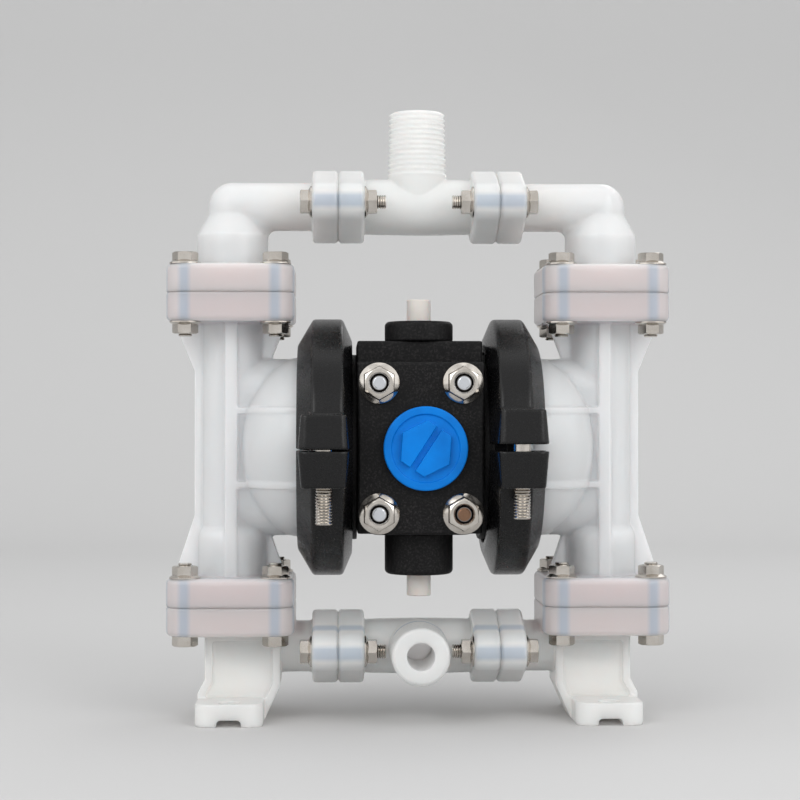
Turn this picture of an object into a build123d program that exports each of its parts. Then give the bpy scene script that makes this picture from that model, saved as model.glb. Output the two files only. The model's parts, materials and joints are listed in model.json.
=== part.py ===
from build123d import *
import os

os.makedirs("parts", exist_ok=True)

# Air operated double-diaphragm pump, in millimetres.
# X runs across the pump, Y from front to back and Z up. The origin is on the floor, under the
# middle of the pump. Left is -X and front is -Y.

# Main axes and joint planes
axis_z = 97.5
tube_x = 67.0
lower_joint_z = 41.0
upper_joint_z = 152.6
diaphragm_x = 32.4

# Clearances
running_gap = 0.05
slip_gap = 0.1
body_gap = 0.3
bolt_gap = 0.3

# M5 fasteners of the flanges and couplings
m5_radius = 2.5
m5_pitch = 0.8
m5_groove = 0.3
m5_flats = 8.0
m5_head_height = 4.2
m5_plain_head_height = 3.6
m5_nut_height = 4.4
m5_washer_radius = 5.6
m5_washer_height = 0.9
m5_tip = 1.0
m5_coupling_tip = 3.2
m5_thread_rings = 6

# M6 fasteners of the covers and clamps
m6_radius = 3.0
m6_pitch = 1.0
m6_groove = 0.4
m6_flats = 10.0
m6_head_height = 4.0
m6_nut_height = 5.0
m6_cover_nut_height = 6.0
m6_washer_radius = 7.1
m6_washer_height = 1.2
m6_thread_rings = 16

# Shape that all the fasteners share
head_bevel_share = 0.6
washer_cone_share = 1.6
nut_countersink_share = 0.25

# Square flanges between the chambers and the elbows
flange_width = 45.5
flange_corner = 8.0
flange_thickness = 10.2
flange_bolt_pitch = 32.0
flange_rounding = 1.8
flange_joint_chamfer = 0.3

# Liquid chambers
tube_radius = 10.9
tube_bore = 7.4
web_thickness = 4.0
web_outer_x = 80.7
web_flare_x = 86.6
web_flare_top_z = 139.5
web_flare_top_start_z = 125.0
web_flare_low_start_z = 72.7
web_flare_low_z = 55.0
web_inner_x = 52.6
web_inner_flare_x = 47.8
front_rib_width = 4.4
front_rib_reach = 13.2
bulge_radius = 12.6
bulge_top_z = 64.5
bulge_dome = 9.2
bowl_centre_x = 41.5
bowl_depth = 23.1
bowl_radius = 32.6
bowl_wall = 3.0
passage_width = 23.0
passage_height = 64.0
passage_wall = 2.8
passage_start_x = 44.0
passage_end_x = 65.0
rib_spacing = 26.6
rib_thickness = 2.2
rib_reach = 0.9

# Rims that the clamps hold
rim_step = 1.9
rim_height = 7.5
rim_flat = 2.4
rim_depth = 5.5

# Check valves
ball_radius = 7.95
ball_lift = 4.0
ball_gap = 0.25
seat_radius = 13.0
seat_height = 5.0
seat_bore = 5.5
seat_cone_depth = 2.5
cage_bore = 10.3
cage_height = 20.0
cage_roof = 4.0
cage_rib_width = 2.0
cage_stop_reach = 4.5
cage_stop_height = 2.6
cage_rib_bite = 0.5
seat_ring_radius = 15.4
seat_ring_section = 1.2

# Upper elbow and discharge tee
top_pipe_radius = 8.75
elbow_cage_radius = 12.9
elbow_cage_height = 21.6
elbow_taper_height = 7.8
elbow_neck_height = 2.8
pipe_bore = 5.5
elbow_bore = 6.0

# Lower elbow, foot and suction tee
bottom_pipe_z = 25.3
bottom_pipe_radius = 9.25
foot_inner_x = 55.0
foot_outer_x = 79.0
foot_side_z = 9.5
foot_neck_z = 14.5
foot_neck_outer_x = 76.4
foot_neck_inner_x = 49.4
foot_inner_z = 12.4
foot_body_half_depth = 11.0
foot_half_depth = 28.0
foot_plate_height = 8.0
foot_corner = 5.0
foot_wall = 2.8
foot_recess_depth = 2.0
foot_channel_width = 8.6
foot_channel_height = 2.4
foot_channel_corner = 1.3
anchor_half_spacing = 22.0
anchor_radius = 3.3

# Two-bolt couplings of the manifolds
coupling_x = 28.7
coupling_thickness = 9.35
coupling_radius = 13.2
coupling_ear_radius = 7.0
coupling_bolt_reach = 18.0
coupling_groove = 0.9
coupling_rounding = 1.4
coupling_ring_radius = 8.2
coupling_ring_section = 0.9

# Tees and their tapered pipe threads
tee_bulge = 0.8
tee_end_step = 0.7
port_thread_radius = 10.2
port_thread_pitch = 1.814
port_thread_depth = 1.0
port_thread_rings = 11
port_taper = 1 / 32
port_bore = 4.9
port_shoulder = 6.0
port_neck_radius = 8.4
discharge_port_reach = 34.2
suction_port_reach = 36.0

# Clamp bands
band_crown = 4.4
band_flat = 10.6
band_inner_side = 8.7
band_inner_chamfer = 8.0
band_outer_side = 10.9
band_outer_chamfer = 9.5
band_gap = 0.2
band_rounding = 1.6
left_split_top = -0.2
right_split_top = 1.7
split_bottom = -0.7
lug_inner_x = 24.9
lug_outer_x = 42.4
lug_bite = 3.2
lug_margin = 7.5
lug_corner = 3.0
lug_draft = 5.0
upper_lug_height = 11.9
lower_lug_height = 12.5
clamp_bolt_x = 33.6
clamp_bolt_step = 4.6
clamp_head_pocket = 4.6
clamp_nut_pocket = 5.6
clamp_bolt_length = 32.7

# Centre block and its covers
block_half_width = 22.0
block_half_depth = 25.0
block_bottom = 30.2
block_top = 37.7
hub_step = 1.0
cavity_floor_x = 19.5
cavity_floor_radius = 21.5
cavity_mouth_step = 0.6
cover_thickness = 10.0
cover_half_height = 30.0
cover_corner = 7.3
cover_rounding = 0.8
gasket_thickness = 1.0
gasket_window = 17.5
cover_bolt_x = 14.6
cover_bolt_z = 22.6
cover_nut_recess = 0.6
exhaust_boss_radius = 12.5
exhaust_boss_height = 6.0
exhaust_port_radius = 7.475
exhaust_pocket_depth = 5.0
exhaust_passage_rise = 14.0
passage_radius = 3.0

# Air inlet and its transport plug
inlet_x = 1.5
inlet_bore = 8.4
inlet_passage = 4.0
plug_radius = 14.6
plug_head = 3.0
plug_recess_radius = 11.85
plug_recess = 0.6
plug_flats = 16.9
plug_hex_height = 2.0
plug_hex_turn = 26.0
plug_slot_width = 2.2
plug_slot_turn = 57.0
plug_thread_radius = 8.0
plug_thread_depth = 0.8
plug_thread_pitch = 1.337
plug_thread_rings = 5

# Air valve
valve_y = -15.0
sleeve_radius = 7.4
sleeve_half_length = 26.0
spool_radius = 4.6
spool_half_length = 17.0
spool_groove = 1.2
spool_land = 5.0
spool_travel = 3.0
port_hole_radius = 2.0
valve_port_offset = 10.0
cap_radius = 12.15
cap_spigot_radius = 8.4
cap_end = 44.8
cap_pocket_radius = 7.0
cap_pocket_end = 38.3
cap_rounding = 1.0
pin_radius = 4.3
pin_outer_end = 52.6
pin_collar_radius = 6.6
pin_collar_height = 2.0
pin_travel = 4.0
pin_gap = 1.0
spring_radius = 5.6
spring_wire = 0.45
spring_turns = 4

# Shaft, pilot rod and diaphragms
shaft_radius = 5.0
shaft_end_radius = 4.0
shaft_end_length = 4.0
bush_radius = 7.0
bush_start_x = 7.6
bush_end_x = 19.2
seal_x = 5.6
seal_width = 2.4
plate_radius = 20.0
plate_thickness = 4.0
outer_plate_thickness = 4.2
outer_plate_crown = 2.0
diaphragm_thickness = 1.6
diaphragm_edge_step = 0.5
diaphragm_fold_start = 20.6
diaphragm_fold_margin = 1.0
diaphragm_fold_height = 3.0
pilot_radius = 2.5
pilot_y = 14.0
pilot_half_length = 23.7

# Values that follow from the driving ones
C = Align.CENTER
LOW = Align.MIN
HIGH = Align.MAX
axis_line = Axis((0, 0, axis_z), (1, 0, 0))
chamber_height = upper_joint_z - lower_joint_z
rim_face = diaphragm_thickness / 2
rim_root_radius = bowl_radius + rim_step
rim_radius = rim_root_radius + rim_height
cavity_mouth_radius = bowl_radius - cavity_mouth_step
hub_radius = rim_root_radius - hub_step
diaphragm_radius = rim_radius - diaphragm_edge_step
diaphragm_fold_end = cavity_mouth_radius - diaphragm_fold_margin
band_lip_radius = rim_root_radius + body_gap
band_radius = rim_radius + band_crown
clamp_bolt_y = band_radius + clamp_bolt_step
elbow_cage_top_z = upper_joint_z + elbow_cage_height
elbow_neck_z = elbow_cage_top_z + elbow_taper_height
top_pipe_z = elbow_neck_z + elbow_neck_height
m5_hole = m5_radius + bolt_gap
m6_hole = m6_radius + bolt_gap
flange_bolt_length = 2 * flange_thickness + m5_nut_height + m5_tip
coupling_bolt_length = 2 * coupling_thickness + m5_nut_height + m5_coupling_tip
cover_face_y = block_half_depth + gasket_thickness + cover_thickness
cover_bolt_length = 2 * cover_face_y + m6_cover_nut_height - cover_nut_recess
seat_mouth = seat_bore + seat_cone_depth
ball_rest_height = (ball_radius + ball_gap) * 2**0.5 - seat_mouth
stop_height = ball_rest_height + ball_radius + ball_lift + body_gap


def turned(outline):
    """A solid turned about Z from an outline of (radius, height) points."""
    with BuildPart() as piece:
        with BuildSketch(Plane.XZ):
            with BuildLine():
                Polyline(*outline, close=True)
            make_face()
        revolve(axis=Axis.Z)
    return piece.part


def thread_rings(crest, depth, pitch, start, count, growth=0.0):
    """Outline points of a thread drawn as rings, upwards from a root at the start height."""
    points = []
    for turn in range(count):
        radius = crest + growth * turn
        height = start + pitch * turn
        points.append((radius - depth, height))
        points.append((radius, height + pitch / 2))
    return points


def threaded_shank(radius, length, pitch, groove, rings):
    """A round shank that hangs down from the XY plane, with thread rings at its lower end."""
    rings = min(rings, int(length / pitch) - 1)
    outline = [(0, -length)] + thread_rings(radius, groove, pitch, -length, rings)
    outline += [(radius - groove, pitch * rings - length), (radius, pitch * (rings + 0.5) - length)]
    outline += [(radius, 0), (0, 0)]
    return turned(outline)


def hexagon(flats, height, washer_radius, washer_height):
    """A hexagon on the XY plane with rounded corners, on a washer face if one is given."""
    corner = flats / 3**0.5
    bevel = (corner - flats / 2) * head_bevel_share
    washer_top = washer_height * washer_cone_share
    with BuildPart() as piece:
        with BuildSketch():
            RegularPolygon(flats / 2, 6, major_radius=False)
        extrude(amount=height)
        with BuildSketch(Plane.XZ):
            with BuildLine():
                Polyline(
                    (0, 0),
                    (corner, 0),
                    (corner, height - bevel),
                    (flats / 2, height),
                    (0, height),
                    close=True,
                )
            make_face()
        revolve(axis=Axis.Z, mode=Mode.INTERSECT)
        if washer_radius > 0:
            with BuildSketch(Plane.XZ):
                with BuildLine():
                    Polyline(
                        (0, 0),
                        (washer_radius, 0),
                        (washer_radius, washer_height / 2),
                        (flats / 2, washer_top),
                        (0, washer_top),
                        close=True,
                    )
                make_face()
            revolve(axis=Axis.Z)
    return piece.part


def bolt(shank, head):
    """A bolt that hangs from the XY plane, with its head above the plane."""
    with BuildPart() as piece:
        add(shank)
        add(head)
    return piece.part


def nut(body, height, radius):
    """A nut that stands on the XY plane, bored to slip over its bolt, with a countersunk mouth."""
    countersink = radius * nut_countersink_share
    with BuildPart() as piece:
        add(body)
        with BuildSketch(Plane.XZ):
            with BuildLine():
                Polyline(
                    (0, 0),
                    (radius, 0),
                    (radius, height - countersink),
                    (radius + countersink, height),
                    (0, height),
                    close=True,
                )
            make_face()
        revolve(axis=Axis.Z, mode=Mode.SUBTRACT)
    return piece.part


def at(x, y, z, up, side=(1, 0, 0)):
    """The place at a point where a piece made on the XY plane stands with its Z along up."""
    if up[0]:
        side = (0, 1, 0)
    return Plane(origin=(x, y, z), x_dir=side, z_dir=up)


def gathered(piece, places):
    """The same piece at several places, as one group of separate solids."""
    with BuildPart() as group:
        with Locations(*places):
            add(piece)
    return group.part


def mirrored(piece):
    """The left-hand twin of a right-hand piece."""
    with BuildPart() as twin:
        mirror(piece, about=Plane.YZ)
    return twin.part


def save(piece, name):
    """Writes one finished piece under its own name."""
    piece.label = name
    export_step(piece, "parts/" + name + ".step")


def save_pair(piece, name):
    """Writes a right-hand piece and its left-hand twin."""
    save(piece, "right_" + name)
    save(mirrored(piece), "left_" + name)


def square_flange():
    """A square flange with its joint face on the XY plane, and its four bolt holes."""
    with BuildPart() as piece:
        with BuildSketch():
            RectangleRounded(flange_width, flange_width, flange_corner)
        extrude(amount=flange_thickness)
        chamfer(piece.edges().group_by(Axis.Z)[0], flange_joint_chamfer)
        fillet(piece.edges().group_by(Axis.Z)[-1], flange_rounding)
        with GridLocations(flange_bolt_pitch, flange_bolt_pitch, 2, 2):
            Hole(m5_hole)
    return piece.part


def coupling_flange():
    """One half of a two-bolt coupling, with its joint face on the XY plane."""
    with BuildPart() as piece:
        with BuildSketch():
            Circle(coupling_radius)
            with Locations((coupling_bolt_reach, 0), (-coupling_bolt_reach, 0)):
                Circle(coupling_ear_radius)
            make_hull()
        extrude(amount=coupling_thickness)
        chamfer(piece.edges().group_by(Axis.Z)[0], coupling_groove)
        fillet(piece.edges().group_by(Axis.Z)[-1], coupling_rounding)
        with Locations((coupling_bolt_reach, 0), (-coupling_bolt_reach, 0)):
            Hole(m5_hole)
    return piece.part


def ball_cage():
    """Four guide ribs on the XY plane that keep a ball central, with stops over it."""
    guide_start = ball_radius + body_gap
    rib_end = cage_bore + cage_rib_bite
    with BuildPart() as piece:
        with PolarLocations(guide_start, 4, start_angle=45):
            Box(rib_end - guide_start, cage_rib_width, stop_height, align=(LOW, C, LOW))
        with Locations((0, 0, stop_height)):
            with PolarLocations(cage_stop_reach, 4, start_angle=45):
                Box(
                    rib_end - cage_stop_reach,
                    cage_rib_width,
                    cage_stop_height,
                    align=(LOW, C, LOW),
                )
    return piece.part


square_flange_piece = square_flange()
coupling_flange_piece = coupling_flange()
cage_piece = ball_cage()


def groove(radius, section):
    """The space of a seal ring's groove, sunk below the XY plane."""
    half_width = section + slip_gap
    depth = 2 * section + slip_gap
    return turned([
        (radius - half_width, 0),
        (radius + half_width, 0),
        (radius + half_width, -depth),
        (radius - half_width, -depth),
    ])


seat_groove = groove(seat_ring_radius, seat_ring_section)
coupling_ring_groove = groove(coupling_ring_radius, coupling_ring_section)


def seat_pocket():
    """Cuts the pocket of a valve seat and the groove of its ring into the piece under a joint."""
    Cylinder(seat_radius + slip_gap, seat_height, align=(C, C, HIGH), mode=Mode.SUBTRACT)
    add(seat_groove, mode=Mode.SUBTRACT)


def cage_pocket(way):
    """Cuts the room of a ball over a joint, with a roof that narrows to the way on."""
    Cylinder(cage_bore, cage_height, align=(C, C, LOW), mode=Mode.SUBTRACT)
    with Locations((0, 0, cage_height)):
        Cone(cage_bore, way, cage_roof, align=(C, C, LOW), mode=Mode.SUBTRACT)


def liquid_chamber():
    """An upright tube between two square flanges, with the bowl that faces the diaphragm."""
    flange_top = lower_joint_z + flange_thickness
    flange_foot = upper_joint_z - flange_thickness
    rim_front = diaphragm_x + rim_face
    rib_half_width = (bowl_radius**2 - (rib_spacing / 2) ** 2) ** 0.5
    rib_depth = bowl_depth * rib_half_width / bowl_radius
    with BuildPart() as piece:
        # Tube with the bulge over the suction ball
        with Locations((tube_x, 0, lower_joint_z)):
            Cylinder(tube_radius, chamber_height, align=(C, C, LOW))
        with BuildSketch(Plane.XZ):
            with BuildLine():
                dome = EllipticalCenterArc((tube_x, bulge_top_z), bulge_radius, bulge_dome)
                Polyline(dome @ 1, (tube_x, lower_joint_z), (tube_x + bulge_radius, lower_joint_z), dome @ 0)
            make_face()
        revolve(axis=Axis((tube_x, 0, 0), (0, 0, 1)))
        # Flanges, and the web with its gussets in the middle plane
        with Locations(
            at(tube_x, 0, lower_joint_z, (0, 0, 1)),
            at(tube_x, 0, upper_joint_z, (0, 0, -1)),
        ):
            add(square_flange_piece)
        with BuildSketch(Plane.XZ):
            with BuildLine():
                Polyline(
                    (web_outer_x, web_flare_low_start_z),
                    (web_outer_x, web_flare_top_start_z),
                    (web_flare_x, web_flare_top_z),
                    (web_flare_x, flange_foot),
                    (web_inner_flare_x, flange_foot),
                    (web_inner_x, axis_z + bowl_radius - body_gap),
                    (web_inner_x, axis_z - bowl_radius + body_gap),
                    (web_inner_flare_x, flange_top),
                    (web_flare_x, flange_top),
                    (web_flare_x, web_flare_low_z),
                    close=True,
                )
            make_face()
        extrude(amount=web_thickness / 2, both=True)
        with Locations((tube_x, 0, flange_top)):
            Box(front_rib_width, 2 * front_rib_reach, flange_foot - flange_top, align=(C, C, LOW))
        # Passage between the bowl and the tube
        with BuildSketch(Plane.YZ.offset(passage_start_x)):
            with Locations((0, axis_z)):
                SlotOverall(passage_height, passage_width, rotation=90)
        extrude(amount=passage_end_x - passage_start_x)
        # Bowl and the rim that the clamp holds
        with BuildSketch(Plane.XZ):
            with BuildLine():
                crown = EllipticalCenterArc((bowl_centre_x, axis_z), bowl_depth, bowl_radius)
                Polyline(
                    crown @ 1,
                    (rim_front + rim_depth, axis_z + bowl_radius),
                    (rim_front + rim_depth, axis_z + rim_root_radius),
                    (rim_front + rim_flat, axis_z + rim_radius),
                    (rim_front, axis_z + rim_radius),
                    (rim_front, axis_z),
                    crown @ 0,
                )
            make_face()
        revolve(axis=axis_line)
        # Level ribs over the bowl
        for side in (-1, 1):
            with BuildSketch(Plane.XY.offset(axis_z + side * rib_spacing / 2 - rib_thickness / 2)):
                with BuildLine():
                    edge = EllipticalCenterArc(
                        (bowl_centre_x, 0), rib_depth + rib_reach, rib_half_width + rib_reach
                    )
                    Polyline(edge @ 1, (bowl_centre_x, 0), edge @ 0)
                make_face()
                mirror(about=Plane.XZ)
                with Locations(((bowl_centre_x + tube_x) / 2, 0)):
                    Rectangle(tube_x - bowl_centre_x, 2 * front_rib_reach)
            extrude(amount=rib_thickness)
        # Ways for the liquid
        with Locations((tube_x, 0, lower_joint_z)):
            Cylinder(tube_bore, chamber_height, align=(C, C, LOW), mode=Mode.SUBTRACT)
            cage_pocket(tube_bore)
        with Locations((tube_x, 0, upper_joint_z)):
            seat_pocket()
        with BuildSketch(Plane.XZ):
            with BuildLine():
                hollow = EllipticalCenterArc(
                    (bowl_centre_x, axis_z), bowl_depth - bowl_wall, bowl_radius - bowl_wall
                )
                Polyline(
                    hollow @ 1,
                    (rim_front, axis_z + cavity_mouth_radius),
                    (rim_front, axis_z),
                    hollow @ 0,
                )
            make_face()
        revolve(axis=axis_line, mode=Mode.SUBTRACT)
        with BuildSketch(Plane.YZ.offset(passage_start_x + 2 * passage_wall)):
            with Locations((0, axis_z)):
                SlotOverall(passage_height - 2 * passage_wall, passage_width - 2 * passage_wall, rotation=90)
        extrude(amount=tube_x - passage_start_x - 2 * passage_wall, mode=Mode.SUBTRACT)
        with Locations((tube_x, 0, lower_joint_z)):
            add(cage_piece)
    return piece.part


def upper_elbow():
    """The elbow over the discharge valve, which turns the way towards the tee."""
    with BuildPart() as piece:
        with Locations((tube_x, 0, upper_joint_z)):
            add(square_flange_piece)
            Cylinder(elbow_cage_radius, elbow_cage_top_z - upper_joint_z, align=(C, C, LOW))
        with Locations((tube_x, 0, elbow_cage_top_z)):
            Cone(elbow_cage_radius, top_pipe_radius, elbow_neck_z - elbow_cage_top_z, align=(C, C, LOW))
        with Locations((tube_x, 0, elbow_neck_z)):
            Cylinder(top_pipe_radius, top_pipe_z - elbow_neck_z, align=(C, C, LOW))
        with Locations((tube_x, 0, top_pipe_z)):
            Sphere(top_pipe_radius)
        with Locations(at(coupling_x, 0, top_pipe_z, (1, 0, 0))):
            Cylinder(top_pipe_radius, tube_x - coupling_x, align=(C, C, LOW))
            add(coupling_flange_piece)
        with Locations((tube_x, 0, upper_joint_z)):
            cage_pocket(elbow_bore)
            Cylinder(elbow_bore, top_pipe_z - upper_joint_z, align=(C, C, LOW), mode=Mode.SUBTRACT)
        with Locations((tube_x, 0, top_pipe_z)):
            Sphere(elbow_bore, mode=Mode.SUBTRACT)
        with Locations(at(coupling_x, 0, top_pipe_z, (1, 0, 0))):
            Cylinder(pipe_bore, tube_x - coupling_x, align=(C, C, LOW), mode=Mode.SUBTRACT)
        with Locations((tube_x, 0, upper_joint_z)):
            add(cage_piece)
    return piece.part


def lower_elbow():
    """The elbow under the suction valve, in one piece with the foot that carries the pump."""
    flange_foot = lower_joint_z - flange_thickness
    with BuildPart() as piece:
        # Foot body, hollowed from front and back
        with BuildSketch(Plane.XZ.offset(-foot_body_half_depth)) as outline:
            with BuildLine():
                Polyline(
                    (foot_inner_x, 0),
                    (foot_outer_x, 0),
                    (foot_outer_x, foot_side_z),
                    (foot_neck_outer_x, foot_neck_z),
                    (foot_neck_outer_x, flange_foot),
                    (foot_neck_inner_x, flange_foot),
                    (foot_neck_inner_x, foot_inner_z),
                    close=True,
                )
            make_face()
        extrude(amount=2 * foot_body_half_depth)
        for side in (-1, 1):
            with BuildSketch(Plane.XZ.offset(side * foot_body_half_depth)):
                add(outline.sketch_local)
                offset(amount=-foot_wall, kind=Kind.INTERSECTION, mode=Mode.REPLACE)
            extrude(amount=-side * foot_recess_depth, mode=Mode.SUBTRACT)
        # Pipe, flanges and base plate
        with Locations((tube_x, 0, bottom_pipe_z)):
            Cylinder(bottom_pipe_radius, flange_foot - bottom_pipe_z, align=(C, C, LOW))
            Sphere(bottom_pipe_radius)
        with Locations(at(tube_x, 0, lower_joint_z, (0, 0, -1))):
            add(square_flange_piece)
        with Locations(at(coupling_x, 0, bottom_pipe_z, (1, 0, 0))):
            Cylinder(bottom_pipe_radius, tube_x - coupling_x, align=(C, C, LOW))
            add(coupling_flange_piece)
        with BuildSketch():
            with Locations(((foot_inner_x + foot_outer_x) / 2, 0)):
                RectangleRounded(foot_outer_x - foot_inner_x, 2 * foot_half_depth, foot_corner)
        extrude(amount=foot_plate_height)
        with BuildSketch(Plane.XZ.offset(foot_half_depth)):
            with Locations((tube_x, 0)):
                RectangleRounded(foot_channel_width, 2 * foot_channel_height, foot_channel_corner)
        extrude(amount=-2 * foot_half_depth, mode=Mode.SUBTRACT)
        with Locations((tube_x, anchor_half_spacing, 0), (tube_x, -anchor_half_spacing, 0)):
            Cylinder(anchor_radius, foot_plate_height, align=(C, C, LOW), mode=Mode.SUBTRACT)
        # Ways for the liquid
        with Locations((tube_x, 0, lower_joint_z)):
            seat_pocket()
        with Locations((tube_x, 0, bottom_pipe_z)):
            Sphere(elbow_bore, mode=Mode.SUBTRACT)
            Cylinder(elbow_bore, lower_joint_z - bottom_pipe_z, align=(C, C, LOW), mode=Mode.SUBTRACT)
        with Locations(at(coupling_x, 0, bottom_pipe_z, (1, 0, 0))):
            Cylinder(pipe_bore, tube_x - coupling_x, align=(C, C, LOW), mode=Mode.SUBTRACT)
    return piece.part


def threaded_port(reach):
    """A tapered male pipe thread that stands on the XY plane, from the middle of its tee."""
    thread_start = reach - port_thread_rings * port_thread_pitch
    base_crest = port_thread_radius + port_thread_rings * port_thread_pitch * port_taper
    outline = [(0, 0), (port_neck_radius, 0), (port_neck_radius, thread_start - port_shoulder)]
    outline += thread_rings(
        base_crest,
        port_thread_depth,
        port_thread_pitch,
        thread_start,
        port_thread_rings,
        -port_thread_pitch * port_taper,
    )
    outline += [(port_thread_radius - port_thread_depth, reach), (0, reach)]
    return turned(outline)


def tee(pipe_z, pipe_radius, port_up, reach):
    """The middle piece of a manifold, with its threaded port along port_up."""
    pipe_line = Axis((0, 0, pipe_z), (1, 0, 0))
    port_place = at(0, 0, pipe_z, port_up)
    port = threaded_port(reach)
    with BuildPart() as piece:
        with BuildSketch(Plane.XZ):
            with BuildLine():
                back = ThreePointArc(
                    (-coupling_x, pipe_z + pipe_radius),
                    (0, pipe_z + pipe_radius + tee_bulge),
                    (coupling_x, pipe_z + pipe_radius),
                )
                Polyline(back @ 1, (coupling_x, pipe_z), (-coupling_x, pipe_z), back @ 0)
            make_face()
        revolve(axis=pipe_line)
        with Locations(at(coupling_x, 0, pipe_z, (-1, 0, 0)), at(-coupling_x, 0, pipe_z, (1, 0, 0))):
            add(coupling_flange_piece)
        with Locations(port_place):
            add(port)
            Cylinder(port_bore, reach, align=(C, C, LOW), mode=Mode.SUBTRACT)
        with Locations(at(-coupling_x, 0, pipe_z, (1, 0, 0))):
            Cylinder(pipe_bore, 2 * coupling_x, align=(C, C, LOW), mode=Mode.SUBTRACT)
        with Locations(at(coupling_x, 0, pipe_z, (1, 0, 0)), at(-coupling_x, 0, pipe_z, (-1, 0, 0))):
            add(coupling_ring_groove, mode=Mode.SUBTRACT)
    return piece.part


def clamp_half(side, split, lug_height):
    """Half of the right-hand V clamp, from its split face up (side 1) or down (side -1)."""
    pocket_depth = clamp_head_pocket if side > 0 else clamp_nut_pocket
    away = HIGH if side > 0 else LOW
    wedge_flat = rim_face + rim_flat + band_gap
    wedge_root = rim_face + rim_depth + band_gap
    half_flat = band_flat / 2
    lug_start_y = band_radius - lug_bite
    lug_end_y = clamp_bolt_y + lug_margin
    split_plane = Plane.XY.offset(axis_z + split)
    lug_end_plane = Plane.XY.offset(axis_z + split + side * lug_height)
    lug_places = [(clamp_bolt_x, y) for y in (-clamp_bolt_y, clamp_bolt_y)]
    with BuildPart() as piece:
        with BuildSketch(Plane.XZ):
            with BuildLine():
                Polyline(
                    (diaphragm_x - band_inner_side, axis_z + band_lip_radius),
                    (diaphragm_x - band_inner_side, axis_z + band_radius - band_inner_chamfer),
                    (diaphragm_x - half_flat, axis_z + band_radius),
                    (diaphragm_x + half_flat, axis_z + band_radius),
                    (diaphragm_x + band_outer_side, axis_z + band_radius - band_outer_chamfer),
                    (diaphragm_x + band_outer_side, axis_z + band_lip_radius),
                    (diaphragm_x + wedge_root, axis_z + band_lip_radius),
                    (diaphragm_x + wedge_flat, axis_z + rim_radius + body_gap),
                    (diaphragm_x - wedge_flat, axis_z + rim_radius + body_gap),
                    (diaphragm_x - wedge_root, axis_z + band_lip_radius),
                    close=True,
                )
            make_face()
        revolve(axis=axis_line)
        rims = piece.edges().filter_by(GeomType.CIRCLE)
        fillet(rims.filter_by(lambda rim: rim.radius > rim_radius + band_gap + body_gap), band_rounding)
        with BuildSketch(split_plane) as lugs:
            with Locations(((lug_inner_x + lug_outer_x) / 2, (lug_start_y + lug_end_y) / 2)):
                Rectangle(lug_outer_x - lug_inner_x, lug_end_y - lug_start_y)
            fillet(lugs.vertices().group_by(Axis.Y)[-1], lug_corner)
            mirror(about=Plane.XZ)
        extrude(amount=lug_height, dir=(0, 0, side), taper=lug_draft)
        with Locations((diaphragm_x, 0, axis_z + split)):
            Box(2 * band_radius, 3 * band_radius, 2 * band_radius, align=(C, C, away), mode=Mode.SUBTRACT)
        with BuildSketch(split_plane):
            with Locations(*lug_places):
                Circle(m6_hole)
        extrude(amount=side * lug_height, mode=Mode.SUBTRACT)
        with BuildSketch(lug_end_plane):
            with Locations(*lug_places):
                RegularPolygon(m6_flats / 2 + body_gap, 6, major_radius=False)
        extrude(amount=-side * pocket_depth, mode=Mode.SUBTRACT)
    return piece.part


def cover_outline(start, thickness):
    """A plate with the outline of the covers, from y = -start towards the front."""
    with BuildPart() as piece:
        with BuildSketch(Plane.XZ.offset(start)) as outline:
            with Locations((0, axis_z)):
                Rectangle(2 * block_half_width, 2 * cover_half_height)
            fillet(outline.vertices().group_by(Axis.Y)[0], cover_corner)
            with Locations((0, axis_z)):
                with GridLocations(2 * cover_bolt_x, 2 * cover_bolt_z, 2, 2):
                    Circle(m6_hole, mode=Mode.SUBTRACT)
        extrude(amount=thickness)
    return piece.part


def gasket(start):
    """A flat gasket with the outline of the covers and a round window."""
    sheet = cover_outline(start, gasket_thickness)
    with BuildPart() as piece:
        add(sheet)
        with Locations(at(0, -start, axis_z, (0, -1, 0))):
            Cylinder(gasket_window, gasket_thickness, align=(C, C, LOW), mode=Mode.SUBTRACT)
    return piece.part


# Liquid side
save_pair(liquid_chamber(), "chamber")
save_pair(upper_elbow(), "upper_elbow")
save_pair(lower_elbow(), "lower_elbow")
discharge_tee = tee(top_pipe_z, top_pipe_radius + tee_end_step, (0, 0, 1), discharge_port_reach)
save(discharge_tee, "discharge_tee")
suction_tee = tee(bottom_pipe_z, bottom_pipe_radius, (0, -1, 0), suction_port_reach)
save(suction_tee, "suction_tee")

# Check valves
valve_seat = turned([
    (seat_bore, -seat_height),
    (seat_radius, -seat_height),
    (seat_radius, 0),
    (seat_mouth, 0),
    (seat_bore, -seat_cone_depth),
])
with BuildPart() as ball:
    with Locations((0, 0, ball_rest_height)):
        Sphere(ball_radius)
for joint_z, valve in ((lower_joint_z, "suction"), (upper_joint_z, "discharge")):
    save_pair(Pos(tube_x, 0, joint_z) * valve_seat, valve + "_seat")
    save_pair(Pos(tube_x, 0, joint_z) * ball.part, valve + "_ball")
seat_ring_z = -seat_ring_section - slip_gap / 2
ring_spots = [
    (x, 0, z + seat_ring_z)
    for x in (-tube_x, tube_x)
    for z in (lower_joint_z, upper_joint_z)
]
with BuildPart() as seat_rings:
    with Locations(*ring_spots):
        Torus(seat_ring_radius, seat_ring_section)
save(seat_rings.part, "seat_rings")
ring_x = coupling_x - coupling_ring_section - slip_gap / 2
ring_places = [
    at(x, 0, z, (1, 0, 0))
    for x in (-ring_x, ring_x)
    for z in (bottom_pipe_z, top_pipe_z)
]
with BuildPart() as coupling_rings:
    with Locations(*ring_places):
        Torus(coupling_ring_radius, coupling_ring_section)
save(coupling_rings.part, "coupling_rings")

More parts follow.
